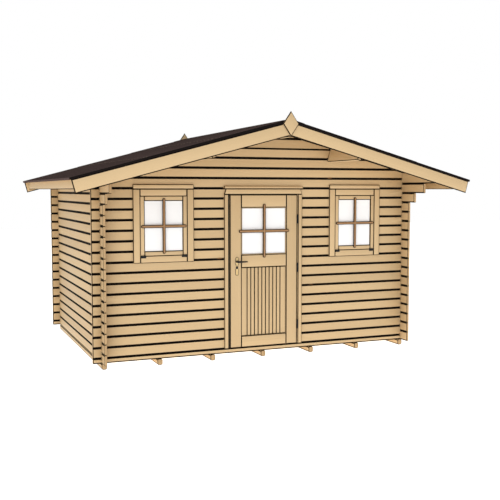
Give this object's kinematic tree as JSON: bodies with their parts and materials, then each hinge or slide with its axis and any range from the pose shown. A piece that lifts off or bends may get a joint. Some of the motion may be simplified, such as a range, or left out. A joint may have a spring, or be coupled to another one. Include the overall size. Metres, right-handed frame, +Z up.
{
  "type": "wooden garden house",
  "caption": "Gabled garden house of interlocking softwood logs with a deep front roof overhang, a half-glazed hinged door, glazed windows, a floor on bearers and a felt roof.",
  "frame": {"origin": "on the ground under the middle of the house's overall box, on the underside of the middle bearer", "axes": "+X along the front to the viewer's right, +Y from the front to the back, +Z up"},
  "size_m": [4.6576, 3.69, 2.764],
  "materials": {
    "wall_logs": "planed softwood, untreated",
    "planed_pine": "planed softwood, untreated",
    "boarding": "planed tongue and groove boards",
    "bearer_wood": "sawn softwood",
    "glazing_bar_wood": "brown glazing bars",
    "roof_felt": "mineral-surfaced roofing felt",
    "window_glass": "clear glass",
    "black_iron": "black hinges",
    "lever_metal": "dark lever",
    "lock_brass": "dull brass plates"
  },
  "bodies": {
    "house": {"back_wall_even_logs": "wall_logs", "back_wall_odd_logs": "wall_logs", "door_casings": "planed_pine", "door_drip_cap": "planed_pine", "door_head": "planed_pine", "door_head_casing": "planed_pine", "door_jambs": "planed_pine", "eave_fascias": "planed_pine", "floor_bearers": "bearer_wood", "floor_deck": "boarding", "frame_hinge_halves": "black_iron", "front_finial": "planed_pine", "front_left_bargeboard": "planed_pine", "front_right_bargeboard": "planed_pine", "front_wall_even_logs": "wall_logs", "front_wall_odd_logs": "wall_logs", "left_purlin": "planed_pine", "left_roof_boards": "boarding", "left_roof_felt": "roof_felt", "left_wall_even_logs": "wall_logs", "left_wall_odd_logs": "wall_logs", "left_window_bars": "glazing_bar_wood", "left_window_casing": "planed_pine", "left_window_frame": "planed_pine", "left_window_pane": "window_glass", "left_window_sash": "planed_pine", "rear_finial": "planed_pine", "rear_left_bargeboard": "planed_pine", "rear_right_bargeboard": "planed_pine", "ridge_purlin": "planed_pine", "right_purlin": "planed_pine", "right_roof_boards": "boarding", "right_roof_felt": "roof_felt", "right_wall_even_logs": "wall_logs", "right_wall_odd_logs": "wall_logs", "right_window_bars": "glazing_bar_wood", "right_window_casing": "planed_pine", "right_window_frame": "planed_pine", "right_window_pane": "window_glass", "right_window_sash": "planed_pine"},
    "door": {"door_stiles": "planed_pine", "door_rails": "planed_pine", "door_panel": "planed_pine", "door_pane": "window_glass", "door_glazing_bars": "glazing_bar_wood", "leaf_hinge_halves": "black_iron", "door_lock_plates": "lock_brass"},
    "lever": {"door_lever": "lever_metal"}
  },
  "joints": [
    {"name": "door_hinge", "type": "hinge", "parent": "house", "child": "door", "pos_m": [0.4275, -1.131, 1], "axis": [0, 0, 1], "range_deg": [0, 110]},
    {"name": "lever_turn", "type": "hinge", "parent": "door", "child": "lever", "pos_m": [-0.336, -1.107, 1.119], "axis": [0, 1, 0], "range_deg": [0, 40], "stiffness_Nm_per_rad": 2, "springref_deg": -22.92}
  ]
}
